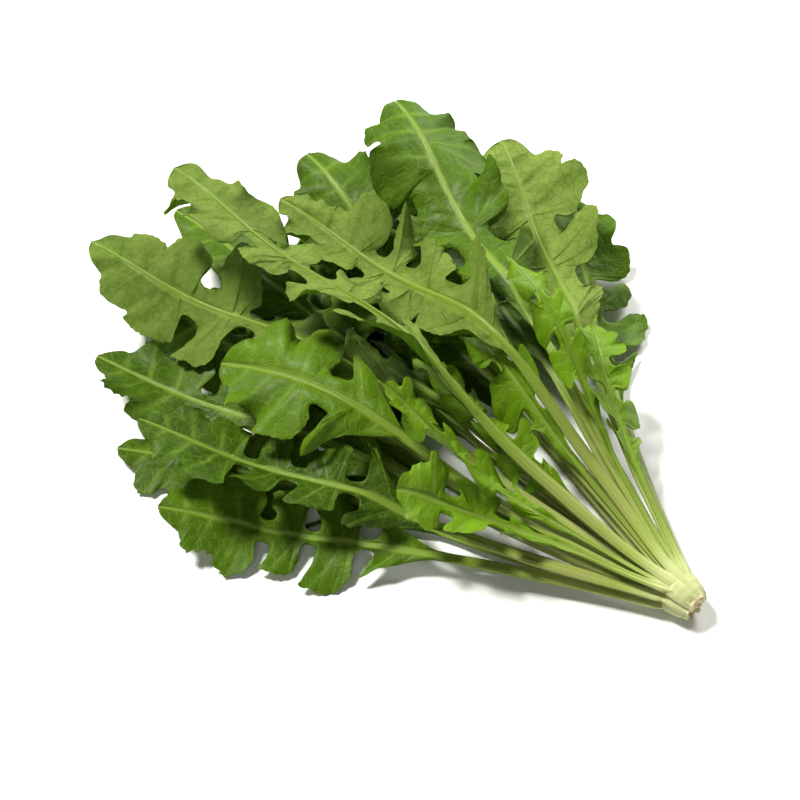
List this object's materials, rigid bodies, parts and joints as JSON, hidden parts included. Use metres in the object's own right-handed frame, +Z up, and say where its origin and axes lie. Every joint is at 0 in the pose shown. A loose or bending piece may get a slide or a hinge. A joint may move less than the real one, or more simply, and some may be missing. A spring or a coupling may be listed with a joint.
{
  "type": "shepherds purse",
  "caption": "Loose head of leafy greens lying on its side: lobed green leaves on long pale stalks fanning out from one short cut crown.",
  "frame": {"origin": "on the surface, under the middle of the head's bounding box", "axes": "+Z up, +X along the head from the leaf tips to the cut root, +Y across it"},
  "size_m": [0.2576, 0.22, 0.0703],
  "materials": {
    "crown": "cream-white and pale green, smooth and moist, with a rough tan cut root",
    "leaf": "satin green blade with fine veins, paler and matte below, on a pale green ribbed stalk"
  },
  "bodies": {
    "root": {"crown": "crown", "leaf_01": "leaf", "leaf_02": "leaf", "leaf_03": "leaf", "leaf_04": "leaf", "leaf_05": "leaf", "leaf_06": "leaf", "leaf_07": "leaf", "leaf_08": "leaf", "leaf_09": "leaf", "leaf_10": "leaf", "leaf_11": "leaf", "leaf_12": "leaf", "leaf_13": "leaf", "leaf_14": "leaf", "leaf_15": "leaf", "leaf_16": "leaf", "leaf_17": "leaf", "leaf_18": "leaf", "leaf_19": "leaf", "leaf_20": "leaf", "leaf_21": "leaf", "leaf_22": "leaf", "leaf_23": "leaf", "leaf_24": "leaf", "leaf_25": "leaf", "leaf_26": "leaf"}
  },
  "joints": []
}
